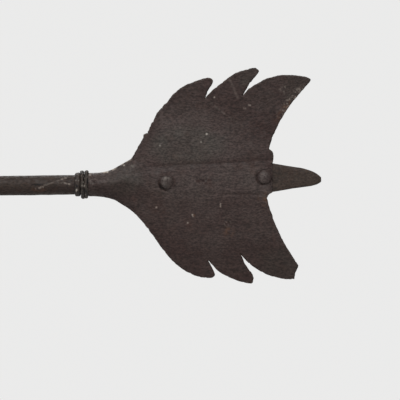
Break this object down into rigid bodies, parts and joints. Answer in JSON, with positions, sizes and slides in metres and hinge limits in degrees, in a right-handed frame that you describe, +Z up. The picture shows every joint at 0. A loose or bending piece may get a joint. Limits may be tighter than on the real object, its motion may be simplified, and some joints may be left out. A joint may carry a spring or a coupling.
{
  "type": "arrow weathervane",
  "caption": "Wrought-iron arrow weathervane: a riveted sheet-iron feathered tail and a barbed head on a forged shaft that turns on a pointed spindle with a screw-down foot.",
  "frame": {"origin": "middle of the foot's underside, on the spindle's axis", "axes": "+Z up along the spindle, +X from the spindle towards the tail, -Y the way the rivet heads face"},
  "size_m": [0.7093, 0.12, 0.3935],
  "materials": {
    "forged_iron": "hammered, dark brown oxide",
    "sheet_iron": "rough hand-cut sheet, dark brown oxide with faint rust",
    "rivet_iron": "hammered, slightly worn",
    "running_steel": "worn bearing surface"
  },
  "bodies": {
    "stand": {"foot": "forged_iron", "foot_pin": "rivet_iron", "spindle": "forged_iron", "drip_ring": "forged_iron"},
    "vane": {"tail_plate": "sheet_iron", "tail_collar_band": "forged_iron", "tail_collar_bead_1": "forged_iron", "tail_collar_bead_2": "forged_iron", "tail_rivet_1": "rivet_iron", "tail_rivet_2": "rivet_iron", "tail_burr_1": "rivet_iron", "tail_burr_2": "rivet_iron", "arrow_shaft": "forged_iron", "head_blade": "forged_iron", "head_collar_band": "forged_iron", "head_collar_bead_1": "forged_iron", "head_collar_bead_2": "forged_iron", "head_rivet_1": "rivet_iron", "head_rivet_2": "rivet_iron", "head_burr_1": "rivet_iron", "head_burr_2": "rivet_iron", "swivel_tube": "forged_iron", "eye_ring_upper": "forged_iron", "eye_ring_lower": "forged_iron", "cap_finial": "forged_iron", "cap_pin": "rivet_iron", "thrust_disc": "running_steel", "guide_bush": "running_steel"}
  },
  "joints": [
    {"name": "vane_swivel", "type": "hinge", "parent": "stand", "child": "vane", "pos_m": [0, 0, 0.3], "axis": [0, 0, 1], "continuous": true}
  ]
}
